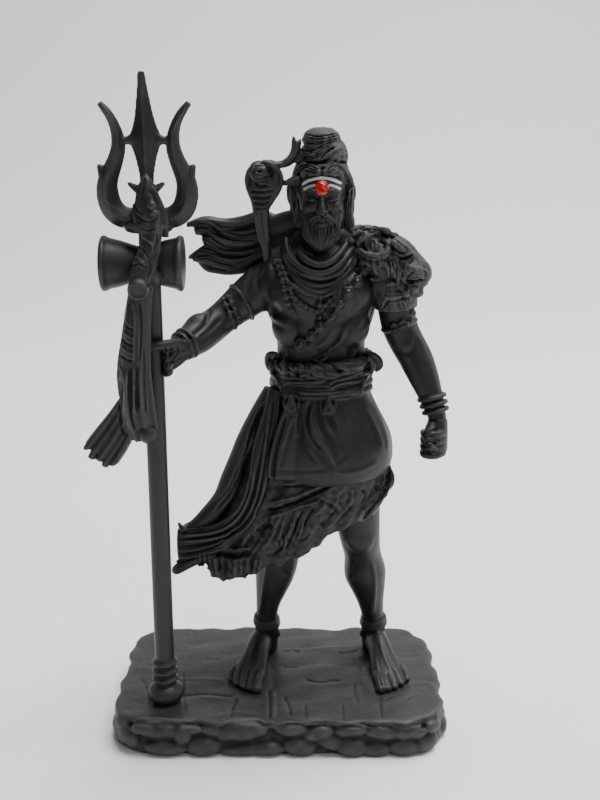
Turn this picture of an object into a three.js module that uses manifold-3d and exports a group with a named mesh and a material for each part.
// A moulded resin figure of a standing deity with a trident, on a slab of rough stones.
// Millimetres, +Z up. The origin is the middle of the slab's underside, and the figure faces -Y.
// The figure's own carving is written at the height it was drawn at, with its soles at height 0,
// and grows or shrinks with figureHeight. Angles round a limb: 0 is +X, a quarter turn is the front.
import * as THREE from "three";
import { mergeVertices } from "three/addons/utils/BufferGeometryUtils.js";
import Module from "manifold-3d";

const wasm = await Module();
wasm.setup();

// Driving dimensions of the slab.
const slabLength = 98;
const slabDepth = 58;
const slabThickness = 10.8;
const slabCornerRadius = 13;
const slabLipHeight = 2.4;
const slabStones = 24;

// The figure, from its soles to the top of its hair.
const figureHeight = 163.6;
const drawnHeight = 163.6;
const figureScale = figureHeight / drawnHeight;

// Driving dimensions of the trident.
const tridentHeight = 179.2;
const staffDiameter = 5.7;
const gripClearance = 0.3;
const footDiameter = 10.8;
const footHeight = 6;
const footRings = 3;
const footRingPitch = 2.7;
const headHeight = 39.4;
const prongSpread = 26;
const prongThickness = 4.2;
const drumLength = 21.6;
const drumDiameter = 14.6;
const drumWaistDiameter = 9;
const drumDrop = 9.2;

// Where the fist closes round the staff, in the figure's drawn millimetres.
const gripDrawn = new THREE.Vector3(-33.6, -16.8, 105);
const grip = gripDrawn.clone().multiplyScalar(figureScale);

const { PI, sin, cos, hypot, atan2, abs, max, min } = Math;

// A closed geometry as a solid that can be joined and cut.
function solid(geometry) {
  const bare = geometry.clone();
  bare.deleteAttribute("normal");
  bare.deleteAttribute("uv");
  const merged = mergeVertices(bare, 1e-4);
  return new wasm.Manifold(
    new wasm.Mesh({
      numProp: 3,
      vertProperties: merged.attributes.position.array,
      triVerts: new Uint32Array(merged.index.array),
    }),
  );
}

// The geometry of a solid, ready for a mesh.
function geometryOf(made) {
  const mesh = made.getMesh();
  return new THREE.BufferGeometry()
    .setAttribute("position", new THREE.BufferAttribute(mesh.vertProperties, 3))
    .setIndex(new THREE.BufferAttribute(mesh.triVerts, 1));
}

// Joins pieces into one solid, and fills the pockets that are left sealed between them.
function joined(pieces) {
  const whole = pieces.map(solid).reduce((all, piece) => all.add(piece));
  const shells = whole.decompose();
  const loose = shells.filter((shell) => shell.volume() > 0);
  if (loose.length > 1) throw new Error(loose.length + " pieces don't meet");
  return loose[0];
}

// Moves every vertex of a geometry to place(x, y, z).
function reshaped(geometry, place) {
  const positions = geometry.attributes.position;
  const vertex = new THREE.Vector3();
  for (let i = 0; i < positions.count; i++) {
    vertex.fromBufferAttribute(positions, i);
    positions.setXYZ(i, ...place(vertex.x, vertex.y, vertex.z));
  }
  return geometry;
}

// A round bar through stations [x, y, z, half width, half depth], with a ring of points at each.
// The depth lies along `back` as nearly as the path allows, and relief(angle, along) adds to the radius.
function limb(stations, { sides = 12, back = [0, 1, 0], relief = () => 0 } = {}) {
  const steps = stations.length - 1;
  const path = new THREE.CatmullRomCurve3(
    stations.map(([x, y, z]) => new THREE.Vector3(x, y, z)), false, "catmullrom");
  const toBack = new THREE.Vector3(...back);
  return reshaped(new THREE.CylinderGeometry(1, 1, 1, sides, steps), (x, y, z) => {
    const ring = Math.round((y + 0.5) * steps);
    const along = ring / steps;
    const extra = hypot(x, z) > 0.5 ? relief(atan2(z, x), along) : 0;
    const tangent = path.getTangent(along);
    const side = new THREE.Vector3().crossVectors(toBack, tangent).normalize();
    const front = new THREE.Vector3().crossVectors(side, tangent);
    const [, , , wide, deep] = stations[ring];
    return path.getPoint(along)
      .addScaledVector(side, x * (wide + extra))
      .addScaledVector(front, z * (deep + extra))
      .toArray();
  });
}

// An ellipsoid of three half sizes, turned by degrees about X, Y and Z.
function ball([x, y, z], [rx, ry, rz], { turn = [0, 0, 0], sides = 12, rows = 8 } = {}) {
  const euler = new THREE.Euler(...turn.map((degrees) => (degrees * PI) / 180));
  return new THREE.SphereGeometry(1, sides, rows)
    .applyMatrix4(new THREE.Matrix4().makeRotationX(PI / 2))
    .scale(rx, ry, rz)
    .applyMatrix4(new THREE.Matrix4().makeRotationFromEuler(euler))
    .translate(x, y, z);
}

// A sheet of cloth of even thickness over surface(u, v), which gives a Vector3 for u and v from 0 to 1.
function sheet(surface, thickness, { columns = 12, rows = 8 } = {}) {
  const nudge = 0.01;
  return reshaped(new THREE.BoxGeometry(1, 1, 1, columns, rows, 1), (x, y, z) => {
    const [u, v] = [x + 0.5, y + 0.5];
    const alongU = surface(u + nudge, v).sub(surface(u - nudge, v));
    const alongV = surface(u, v + nudge).sub(surface(u, v - nudge));
    const normal = alongU.cross(alongV).normalize();
    return surface(u, v).addScaledVector(normal, z * thickness).toArray();
  });
}

// Beads threaded along a path of points.
function beads(points, radius, count) {
  const path = new THREE.CatmullRomCurve3(points.map((p) => new THREE.Vector3(...p)));
  return path.getSpacedPoints(count - 1).map((p) =>
    new THREE.IcosahedronGeometry(radius, 0).translate(p.x, p.y, p.z));
}

// A smooth hump that is 1 at the centre and 0 beyond its reach.
const hump = (value, centre, reach) => {
  const away = min(1, abs(value - centre) / reach);
  return (1 + cos(PI * away)) / 2;
};

// The slab: a rounded rectangle with cobbled sides under an overhanging lip, flat above and below.
function slab() {
  const [halfX, halfY, r] = [slabLength / 2, slabDepth / 2, slabCornerRadius];
  const outline = new THREE.Shape()
    .moveTo(halfX - r, -halfY)
    .absarc(halfX - r, -halfY + r, r, -PI / 2, 0)
    .absarc(halfX - r, halfY - r, r, 0, PI / 2)
    .absarc(-halfX + r, halfY - r, r, PI / 2, PI)
    .absarc(-halfX + r, -halfY + r, r, PI, (3 * PI) / 2);
  outline.closePath();
  const facesPerStone = 3;
  const around = facesPerStone * slabStones;
  const points = outline.getSpacedPoints(around);
  const lipStart = slabThickness - slabLipHeight;
  // Each ring: its height, how far it stands out from the outline, and how far its stones bulge.
  const rings = [[0, -0.8, 0.9], [lipStart * 0.6, 0, 1.3], [lipStart, -0.8, 0.4], [slabThickness, -0.2, 0]];
  const geometry = new THREE.CylinderGeometry(1, 1, 1, around, rings.length - 1);
  return solid(reshaped(geometry, (x, y, z) => {
    const [height, reach, bulge] = rings[Math.round((y + 0.5) * (rings.length - 1))];
    if (hypot(x, z) < 0.5) return [0, 0, height];
    const index = Math.round((atan2(-z, x) / (2 * PI)) * around + around) % around;
    const point = points[index];
    const next = points[(index + 1) % around];
    const before = points[(index + around - 1) % around];
    const outward = new THREE.Vector2(next.y - before.y, before.x - next.x).normalize();
    const joint = index % facesPerStone === 0;
    const wander = 0.35 * sin(index * 1.1) + 0.35 * sin(index * 0.43 + 1);
    const out = reach + wander + (joint ? -0.3 * bulge : bulge);
    return [point.x + outward.x * out, point.y + outward.y * out, height];
  }));
}

// Legs and feet from under the hem down to the soles, each with a ring at the ankle.
function legs() {
  const left = limb([
    [-4.4, 14, 1, 3.4, 4.4], [-4.4, 13.4, 7.6, 3.2, 3.8], [-4.5, 13, 9.2, 4.4, 4.8],
    [-4.5, 13, 11.4, 4.4, 4.8], [-4.4, 12.8, 12.8, 3.4, 3.8], [-3.9, 12.2, 18, 3.9, 4.6],
    [-1.8, 10.8, 28, 6.1, 6.5], [-0.4, 9.4, 34, 6.1, 6.4], [0.8, 7.5, 42, 5.6, 6.2],
    [2.5, 6.5, 56, 7.5, 8],
  ], { sides: 10 });
  const right = limb([
    [29.4, 14, 1, 3.4, 4.4], [29.4, 13.4, 7.6, 3.2, 3.8], [29.5, 13, 9.2, 4.4, 4.8],
    [29.4, 13, 11.4, 4.4, 4.8], [29.2, 12.8, 12.8, 3.5, 3.8], [28.3, 12, 19, 4.3, 4.9],
    [26.4, 10.6, 29, 6.5, 6.8], [25.4, 8.8, 36, 5.7, 6.3], [24.2, 6, 44, 6.3, 6.8],
    [22.6, 5, 58, 7.6, 8],
  ], { sides: 10 });
  return [left, right, ...foot(-5.2, -10.2, 1), ...foot(29.4, 33.8, -1)];
}

// A bare foot from its heel to its toes, with the big toe on the side that `inner` points to.
function foot(heelX, toesX, inner) {
  const [heelY, length] = [16.5, 26];
  const slope = (toesX - heelX) / length;
  const along = (distance, height, wide, deep) =>
    [heelX + slope * distance, heelY - distance, height, wide, deep];
  const sole = limb([
    along(-1, 2.4, 2.2, 2.2), along(2, 3.6, 3.6, 4), along(8, 4.4, 3.5, 4.8), along(15, 2.8, 4.2, 3.4),
    along(21, 1.6, 5.1, 2.4), along(26, 1, 4.5, 1.6),
  ], { sides: 8, back: [0, 0, 1] });
  const toes = [0, 1, 2, 3, 4].map((number) => {
    const radius = number === 0 ? 1.8 : 1.35 - number * 0.06;
    return ball([toesX + inner * (3.5 - number * 2.05), heelY - 27 + number * number * 0.35, 0.8],
      [radius, 3, radius], { sides: 6, rows: 3 });
  });
  return [sole, ...toes];
}

// The bare torso and the neck, with a groove down the middle of the chest.
function torso() {
  const groove = (angle, along) => -1.1 * hump(angle, PI / 2, 0.4) * hump(along, 0.55, 0.4);
  return limb([
    [12.1, 5.2, 95, 14, 10], [12.2, 4.6, 103, 12.7, 8.8], [12, 4.4, 108, 13.4, 9.2],
    [11.8, 3.9, 113.4, 15, 9.6], [11.8, 3.7, 116, 15.8, 11], [11.8, 3.9, 121, 16.3, 11],
    [12, 4, 125, 16, 9.4], [12.3, 4.5, 129.4, 12, 7.2], [12.3, 4.5, 133, 5.6, 5.6],
    [12.2, 4, 140, 5, 5.4],
  ], { sides: 14, relief: groove });
}

// The arm that reaches out to the staff, with its armlet, wristband and fist.
function staffArm() {
  // Each station: its share of the way from shoulder to grip, its bend off that line, its half sizes.
  const shoulder = new THREE.Vector3(2, 4.5, 124.5);
  const arm = limb([
    [0, 0, 0, 0, 5.8, 6], [0.157, -0.9, 2.3, -0.9, 6.2, 6], [0.304, -1.1, 3.5, -1.9, 5.8, 5.5],
    [0.327, -1.1, 3.7, -2, 6.6, 6.4], [0.388, -1.1, 4.1, -2.4, 6.4, 6.2],
    [0.407, -1.1, 4.2, -2.6, 5.3, 5.2], [0.525, -0.7, 4, -3.1, 5.2, 4.9],
    [0.674, 0, 2.4, -2.6, 5.3, 4.8], [0.78, 0.6, 0.9, -2, 4.2, 4], [0.798, 0.6, 0.7, -1.8, 4.8, 4.6],
    [0.847, 0.8, 0.1, -1.5, 4.3, 4.2], [0.864, 0.8, 0.1, -1.5, 3.3, 3.2], [0.933, 0.6, 0, -1.1, 3, 3.1],
  ].map(([share, right, back, up, wide, deep]) => {
    const at = shoulder.clone().lerp(gripDrawn, share).add(new THREE.Vector3(right, back, up));
    return [at.x, at.y, at.z, wide, deep];
  }), { sides: 8 });
  const { x, y, z } = gripDrawn;
  const fist = limb([
    [x + 0.4, y, z - 4.6, 3.4, 3.6], [x + 0.3, y, z - 3.8, 4.7, 4.8], [x + 0.2, y, z - 2.6, 4.2, 4.3],
    [x + 0.2, y, z - 1.5, 4.8, 4.9], [x + 0.2, y, z - 0.3, 4.2, 4.4], [x + 0.2, y, z + 0.8, 4.8, 4.9],
    [x + 0.2, y, z + 2, 4.2, 4.4], [x + 0.3, y, z + 3.1, 4.7, 4.8], [x + 0.4, y, z + 4, 3.5, 3.6],
  ], { sides: 8 });
  const palm = ball([x + 3, y + 2.6, z], [3, 3.2, 4.4], { sides: 7, rows: 4 });
  const thumb = limb([
    [x + 3.8, y + 0.6, z + 3.6, 1.6, 1.6], [x + 4, y - 2.6, z + 4.2, 1.4, 1.4],
    [x + 2.6, y - 4.2, z + 3.4, 1.1, 1.1],
  ], { sides: 4, back: [0, 0, 1] });
  return [arm, fist, palm, thumb];
}

// The arm that hangs at the side: armlet, two bangles and a closed fist.
function hangingArm() {
  const arm = limb([
    [30.6, 5, 127, 5.2, 6], [33, 5, 119, 5.6, 6.2], [33.9, 5, 112.8, 5.1, 5.7], [34, 5, 112, 5.9, 6.5],
    [34.2, 5, 110, 5.9, 6.5], [34.5, 5, 109.2, 5.1, 5.6], [36.6, 4.6, 104.6, 5.1, 5.2],
    [39.8, 3, 99, 4.9, 4.8], [42.4, 0.8, 93, 4.2, 4.2], [43.9, -0.6, 89.6, 3.5, 3.6],
    [44.1, -0.8, 88.9, 4.3, 4.3], [44.6, -1.2, 87.4, 3.6, 3.7], [45, -1.6, 86, 4.2, 4.3],
    [45.5, -2, 84.6, 2.9, 3.2], [46, -2.4, 82.6, 2.8, 3.2], [45.4, -2.9, 79, 3.6, 4],
    [44.9, -3.4, 75.4, 3.9, 4.6], [44.9, -3.6, 72.6, 3.2, 3.8],
  ], { sides: 8 });
  const thumb = limb([
    [43, -4.8, 81, 1.3, 1.4], [42, -7, 77.6, 1.4, 1.5], [43.4, -8.2, 74.8, 1.1, 1.1],
  ], { sides: 4 });
  return [arm, thumb];
}

// The skirt's long under layer, whose ragged hem falls to one side.
function underSkirt() {
  // Rings from the waist down: centre, half sizes, and how steeply each ring climbs towards +X.
  const rings = [
    [12.2, 5.2, 91, 14.6, 10.8, 0], [11.4, 5, 84, 18, 12.4, 0], [10.4, 4.8, 76, 21.6, 13.4, 0.01],
    [8.8, 4.6, 67, 24, 14, 0.05], [5.6, 4.2, 58, 26, 14, 0.13], [2.2, 3.4, 50, 28, 13.4, 0.22],
    [0, 2.8, 45.2, 29.6, 12.8, 0.28], [-1, 2.6, 42.2, 30, 12, 0.3],
  ];
  const around = 32;
  const geometry = new THREE.CylinderGeometry(1, 1, 1, around, rings.length - 1);
  return reshaped(geometry, (x, y, z) => {
    const ring = Math.round((0.5 - y) * (rings.length - 1));
    const along = ring / (rings.length - 1);
    const [middleX, middleY, height, wide, deep, rise] = rings[ring];
    const atRim = hypot(x, z) > 0.5;
    const angle = atan2(z, x);
    const pleats = atRim ? along * (0.9 * cos(angle * 16) + 0.6 * sin(angle * 5 + 1)) : 0;
    const ragged = atRim ? hump(along, 1, 0.12) * 1.5 * sin(angle * 9 + 0.5) : 4 * along;
    const across = x * (wide + pleats);
    return [middleX + across, middleY - z * (deep + pleats), height + rise * across + ragged];
  });
}

// The full apron over the skirt, the folded sash above it and the twisted belt that holds them.
function apron() {
  const pleats = 9;
  const folds = (angle, along) => {
    const hollow = 1.2 * (1 - along) * hump(angle, 2.3, 0.5);
    return along > 0.75 ? 0.35 * cos(angle * pleats) : 0.45 * along * cos(angle * pleats) - hollow;
  };
  return limb([
    [15, 5, 63.4, 14, 12.4], [15.8, 4.6, 65.2, 17, 15.4], [15.8, 4.4, 70, 17.9, 16.4],
    [15.2, 4.6, 77, 17.7, 15.8], [13.6, 5, 84, 15.6, 13.4], [12.3, 5.2, 88.8, 14.5, 12],
    [12.2, 5.2, 91.4, 15, 12.6], [12.1, 5.2, 94.8, 14.5, 11.8], [12.1, 5, 96, 15.5, 12.4],
    [12.1, 5, 98.6, 15.3, 12], [12.1, 5, 99.6, 13.6, 10],
  ], { sides: 18, relief: folds });
}

// The train, which leaves the hip and is blown out beside the staff with its folds side by side.
function train() {
  const folds = (angle, along) => 0.8 * cos(angle * 8) * (1 - 0.6 * along);
  return limb([
    [-30.6, -4, 42.4, 7.2, 3.2], [-25.4, -4.2, 43.6, 7.2, 3.6], [-18.6, -4.6, 48.4, 7.4, 4.4],
    [-12.6, -4.6, 56, 7.2, 4.8], [-8, -4, 66, 6.8, 4.8], [-4.4, -2.8, 77, 6, 4.4],
    [-0.6, -1.4, 89, 4.2, 3.4],
  ], { sides: 16, relief: folds });
}

// Knots of the belt on both hips, and two bells under it.
function knots() {
  const tied = [
    [[-1.9, 1.2, 99], [2.2, 3.4, 3.6]], [[-1.2, 1, 93], [2.2, 3.6, 4]], [[27.4, 1.6, 98.8], [2.6, 3.6, 3]],
    [[26, 0.4, 93.4], [2.2, 3.2, 3.8]],
  ].map(([place, sizes]) => ball(place, sizes, { sides: 6, rows: 3 }));
  const bells = [[3.9, -6.4, 86.4], [14.1, -8.4, 86.4]].map((place) =>
    ball(place, [1.5, 1.8, 1.9], { sides: 6, rows: 4 }));
  return [...tied, ...bells];
}

// The scarf wound round the neck in four falling folds.
function neckScarf() {
  return limb([
    [12.4, 2.4, 126.6, 7.6, 6.8], [12.4, 1.5, 128.4, 11, 9.6], [12.4, 1, 129.4, 9.8, 8.4],
    [12.3, 0.6, 130.3, 10, 8.7], [12.3, 0.1, 131.3, 8.4, 7.2], [12.3, -0.3, 132.1, 8.6, 7.4],
    [12.2, -0.8, 133.1, 6.9, 5.8], [12.2, -1.1, 133.8, 7.1, 6], [12.2, -1.7, 135.2, 4.6, 4],
  ], { sides: 12 });
}

// The scarf's end, blown out beside the shoulder: u runs out from the neck and v up across it.
function blownScarf() {
  const length = 36.5;
  return sheet((u, v) => {
    const middle = 134.4 - 4.6 * sin(u * PI * 0.9) + 0.6 * u + 3.6 * hump(u, 0.1, 0.35);
    const half = 4.4 + 4.2 * hump(u, 0.7, 0.6) - 2.6 * max(0, u - 0.8) / 0.2;
    const ripple = 1.1 * sin(v * 3 * PI + u * 3) * (0.3 + 0.7 * u);
    const notch = 2.6 * hump(v, 0.5, 0.25) * hump(u, 1, 0.25);
    return new THREE.Vector3(
      10.5 - length * u + notch,
      9.8 - 2 * u + ripple + 2.2 * cos(v * PI) * u,
      middle + half * (v - 0.5) * 2,
    );
  }, 1.7, { columns: 6, rows: 6 });
}

// The tiger skin over the other shoulder, its head lying on the upper arm.
function pelt() {
  const head = limb([
    [25, 3.6, 129, 4.4, 5.4], [28.6, 2.4, 129.4, 6.6, 7], [32.6, 0.8, 128.3, 6.9, 6.8],
    [36, -0.8, 126.8, 5.5, 5.6], [38.8, -2, 125.6, 4.2, 4.4], [40.8, -2.8, 124.2, 3.2, 3.4],
    [42, -3.2, 123.4, 1.7, 1.8],
  ], { sides: 8 });
  const jaw = limb([
    [33, -0.6, 121.6, 3.4, 4], [37, -1.8, 120, 2.2, 3], [40, -2.6, 119.9, 1.2, 1.8],
  ], { sides: 6 });
  const ear = ball([26.8, -3.2, 131.4], [3, 1.8, 2.6], { turn: [0, 20, 0], sides: 6, rows: 4 });
  const tuft = ball([25, 3, 134], [4.2, 5.4, 4], { turn: [0, 10, 0], sides: 7, rows: 4 });
  const mane = [[28.6, -3.2, 121.4], [32.6, -1.8, 120]].map((place) =>
    ball(place, [2.8, 3, 2.9], { sides: 6, rows: 4 }));
  const sleeve = limb([[32.4, 5, 124.6, 6.2, 7.2], [33.2, 5, 119, 6.7, 7.4], [33.8, 5, 114.4, 5.9, 6.7]],
    { sides: 10, relief: (angle) => 0.4 * cos(angle * 5) });
  // The skin hangs down the back as a rippled sheet.
  const hide = sheet((u, v) => new THREE.Vector3(
    29 - 19 * u - 8 * (1 - v) ** 3 * (1 - u),
    10.4 + 3.4 * sin(u * PI) * (1 - v * 0.5) + 0.7 * sin(u * 12 + v * 3) + (1 - v) * 2,
    98 + 32 * v - 5 * hump(u, 0.45, 0.5) * (1 - v),
  ), 2, { columns: 5, rows: 3 });
  return [head, jaw, ear, tuft, ...mane, sleeve, hide];
}

// The cobra that rises behind the shoulder with its hood spread, and the horned crest beside the hair.
function cobra() {
  const hood = limb([
    [0.6, 4.8, 126, 2.2, 2.2], [-3, 1.4, 132, 2.2, 2.2], [-4.2, -1.4, 139.4, 2, 1.9],
    [-4, -2.2, 144, 2.7, 1.7], [-3.6, -2.6, 148, 4.9, 1.8], [-3.5, -2.8, 151.6, 5.3, 1.8],
    [-3.5, -2.8, 154.6, 3.9, 1.6], [-3.5, -2.6, 156.6, 1.2, 1],
  ], { sides: 8 });
  const head = ball([-4.4, -4.6, 152.6], [2.2, 2.8, 1.9], { sides: 6, rows: 4, turn: [20, 0, 0] });
  const crest = limb([
    [-3, -1.6, 154.6, 1.1, 1.2], [0.6, 0, 154.8, 1.4, 1.4], [4, 1.2, 155.6, 1.8, 1.6],
    [5.3, 1.6, 158.6, 1.5, 1.3], [5, 1.8, 162, 0.4, 0.5],
  ], { sides: 6 });
  return [hood, head, crest];
}

// The head: face, nose and beard, with the hair falling behind and drawn up into a coiled knot.
function head() {
  const middle = 12;
  const skull = ball([middle, 2.6, 146.2], [6.9, 8, 9], { sides: 10, rows: 7 });
  const eyes = [-2.8, 2.8].map((across) =>
    ball([middle + across, -3.9, 148.4], [1.7, 1.2, 0.9], { sides: 5, rows: 3 }));
  const nose = limb([
    [middle, -4.6, 148.8, 0.8, 0.7], [middle, -6.6, 144.8, 1.4, 1.3], [middle, -5, 143.4, 0.9, 0.9],
  ], { sides: 4 });
  const beard = limb([
    [middle, -1.4, 143, 5.9, 4.6], [middle, -2.8, 139.4, 5, 3.8], [middle - 0.2, -4.2, 135.8, 3.4, 2.8],
    [middle - 0.4, -5.2, 132.6, 0.8, 0.8],
  ], { sides: 10, relief: (angle) => 0.25 * cos(angle * 5) });
  const locks = (angle, along) => 0.4 * cos(angle * 6 + along * 3);
  const hair = limb([
    [12.6, 7.4, 130, 9.2, 3.6], [12.5, 7.2, 136.4, 8.7, 5], [12.4, 6.6, 142, 9, 6.2],
    [12.3, 5.8, 147.6, 9.2, 7.4], [12.2, 5, 151.4, 8.8, 8.2], [12.1, 4.4, 154, 7.9, 7.8],
    [12.2, 4.4, 155, 6.9, 6.8], [12.6, 4.4, 157, 7.2, 6.9], [12.4, 4.3, 159.2, 5.4, 5.4],
    [12.2, 4.2, 160.8, 5.7, 5.5], [12, 4.2, 163.4, 3.6, 3.4],
  ], { sides: 12, relief: locks });
  return [skull, ...eyes, nose, beard, hair];
}

// A string of large beads across the chest and a finer necklace.
function garlands() {
  const mala = beads([
    [21, -5.4, 121.8], [17.7, -6.8, 117.7], [12.4, -5.1, 111.2], [7.8, -4, 106],
  ], 1.5, 6);
  const string = limb([
    [1.8, -4.6, 123], [3.4, -6.6, 117.6], [7.4, -7, 114.6], [11.8, -6.4, 113.6], [16, -7.2, 115.4],
    [20, -6.6, 120],
  ].map((point) => [...point, 0.95, 0.95]), { sides: 4 });
  return [...mala, string];
}

// Everything moulded as one with the deity, cut level at the soles and bored for the staff.
function figure() {
  const whole = joined([
    torso(), ...legs(), ...staffArm(), ...hangingArm(), underSkirt(), apron(), train(), ...knots(),
    neckScarf(), blownScarf(), ...pelt(), ...cobra(), ...head(), ...garlands(),
  ]).scale(figureScale);
  const ground = new THREE.BoxGeometry(4 * slabLength, 4 * slabDepth, 20).translate(0, 0, -10);
  const boreSides = 12;
  const boreRadius = (staffDiameter / 2 + gripClearance) / cos(PI / boreSides);
  const bore = new THREE.CylinderGeometry(boreRadius, boreRadius, tridentHeight, boreSides)
    .rotateX(PI / 2)
    .translate(grip.x, grip.y, tridentHeight / 2);
  return whole.subtract(solid(ground)).subtract(solid(bore));
}

// The turned staff with its flattened ball foot and rings, standing on height 0.
function staff() {
  const r = staffDiameter / 2;
  const foot = footDiameter / 2;
  const bulb = [[0.45, 0], [0.9, 0.22], [1, 0.45], [0.88, 0.75]]
    .map(([reach, height]) => [foot * reach, footHeight * height]);
  const rings = Array.from({ length: footRings }, (_, number) => {
    const start = footHeight + number * footRingPitch;
    return [[r + 0.4, start], [r + 1.1, start + footRingPitch / 2]];
  }).flat();
  const top = tridentHeight - headHeight + 1;
  const ringsTop = footHeight + footRings * footRingPitch;
  const profile = [[0, 0], ...bulb, ...rings, [r, ringsTop], [r, top], [0, top]]
    .map(([radius, height]) => new THREE.Vector2(radius, height));
  return new THREE.LatheGeometry(profile, 10).rotateX(PI / 2);
}

// The trident's head: a collar, a ridged middle blade and two curved prongs tied to it by short bars.
function tridentHead() {
  const foot = tridentHeight - headHeight;
  const collar = new THREE.LatheGeometry([[0, -0.6], [6, -0.6], [6.4, 1.2], [5, 2], [4.6, 4.4], [0, 4.6]]
    .map(([radius, height]) => new THREE.Vector2(radius, foot + height)), 12).rotateX(PI / 2);
  const blade = limb([
    [0, 0, foot + 3, 1.8, 1.6], [0, 0, foot + 13, 1.7, 1.3], [0, 0, foot + 19, 2.6, 1.5],
    [0, 0, foot + 23, 4.1, 1.6], [0, 0, foot + 27, 3, 1.5], [-0.2, 0, foot + 32, 1.6, 1.2],
    [-0.5, 0, tridentHeight, 0.4, 0.4],
  ], { sides: 4 });
  const drawnSpread = 26;
  const wide = prongSpread / drawnSpread;
  const half = prongThickness / 2;
  const prong = (mirror) => limb([
    [1, 2.6, 0.8], [6.2, 2.4, 1.1], [10.2, 6.4, 1.15], [10.9, 11.4, 1.15], [10.2, 14.6, 1.05],
    [10.4, 15.6, 1.2], [8.4, 18.4, 0.95], [7, 22, 0.78], [7.2, 25.4, 0.72], [8.8, 28.6, 0.6],
    [11.4, 31.7, 0.25],
  ].map(([out, up, share]) => [mirror * out * wide, 0, foot + up, half * share, half * share * 0.85]),
  { sides: 6 });
  const bar = ball([0, 0, foot + 22], [7.6 * wide, 1.2, 1.6], { sides: 6, rows: 4 });
  return [collar, blade, prong(-1), prong(1), bar];
}

// The hourglass drum tied across the staff.
function drum() {
  const [half, end, waist] = [drumLength / 2, drumDiameter / 2, drumWaistDiameter / 2];
  const rim = 0.6;
  const profile = [
    [0, rim - half], [end - 1, rim - half], [end - 0.5, -half], [end, rim - half], [waist, 0],
    [end, half - rim], [end - 0.5, half], [end - 1, half - rim], [0, half - rim],
  ].map(([radius, along]) => new THREE.Vector2(radius, along));
  return new THREE.LatheGeometry(profile, 14).rotateZ(-PI / 2)
    .translate(-1.9, -0.6, tridentHeight - headHeight - drumDrop);
}

// The cloth knotted under the prongs, with one end over the drum and two long pleated tails.
function tiedCloth() {
  const top = tridentHeight - headHeight;
  const front = -staffDiameter / 2;
  const hood = limb([
    [0.4, -1, top + 14, 0.3, 0.3], [0.4, -2.2, top + 11, 2.5, 2.3], [0.6, -2.8, top + 6, 3.4, 3],
    [0.8, -3, top + 1, 2.8, 2.5],
  ], { sides: 6 });
  const spikes = ball([0.2, -1.6, top + 10.8], [4.4, 1, 1.2], { sides: 6, rows: 4 });
  const band = limb([
    [1.6, front - 1.6, top + 6.4, 2, 1.6], [1.4, front - 3.2, top, 2.6, 2],
    [0.8, front - 5.2, top - 6, 2.9, 2.1], [-0.8, front - 6.4, top - 11.4, 3, 2.2],
    [-1.9, front - 7.2, top - 14.6, 2.6, 2.6],
  ], { sides: 6 });
  const pleats = (angle) => 0.5 * cos(angle * 5);
  // The front tail hangs clear of the fist, and the back tail leaves the staff below it.
  const frontTail = limb([
    [-1.5, front - 4.6, top - 13, 3, 2.3], [-3.2, front - 5.4, top - 26, 3.8, 2.1],
    [-4.2, front - 5.4, top - 38, 4.4, 2.1], [-3.6, front - 3.2, top - 50, 4.3, 2.6],
    [-2.4, front - 1.8, top - 56, 3, 2.2],
  ], { sides: 10, relief: pleats });
  const backTail = limb([
    [-2.4, -1.2, top - 42, 2.6, 1.9], [-6.2, 0, top - 47.5, 3.6, 1.9], [-9.6, 0.8, top - 54, 4.9, 2],
    [-15.2, 0.8, top - 62.4, 5.8, 2.3], [-16.8, 0.8, top - 64.8, 5.2, 1.8],
  ], { sides: 10, relief: pleats });
  const tassel = ball([-1.4, front - 3.2, top - 54.6], [2.1, 1.8, 2.6], { sides: 7, rows: 5 });
  return [hood, spikes, band, frontTail, backTail, tassel];
}

// The trident and all that is moulded with it.
const trident = () => joined([staff(), ...tridentHead(), drum(), ...tiedCloth()]);

const resin = (color, roughness) => new THREE.MeshStandardMaterial({ color, roughness, metalness: 0 });

function named(name, made, material) {
  const mesh = new THREE.Mesh(geometryOf(made), material);
  mesh.name = name;
  return mesh;
}

const group = new THREE.Group();
const slabMesh = named("slab", slab(), resin(0x2c2c2b, 0.62));
const figureMesh = named("figure", figure(), resin(0x262626, 0.5));
figureMesh.position.z = slabThickness;
const tridentMesh = named("trident", trident(), resin(0x2b2c2e, 0.45));
tridentMesh.position.set(grip.x, grip.y, slabThickness);
group.add(slabMesh, figureMesh, tridentMesh);

export default group;
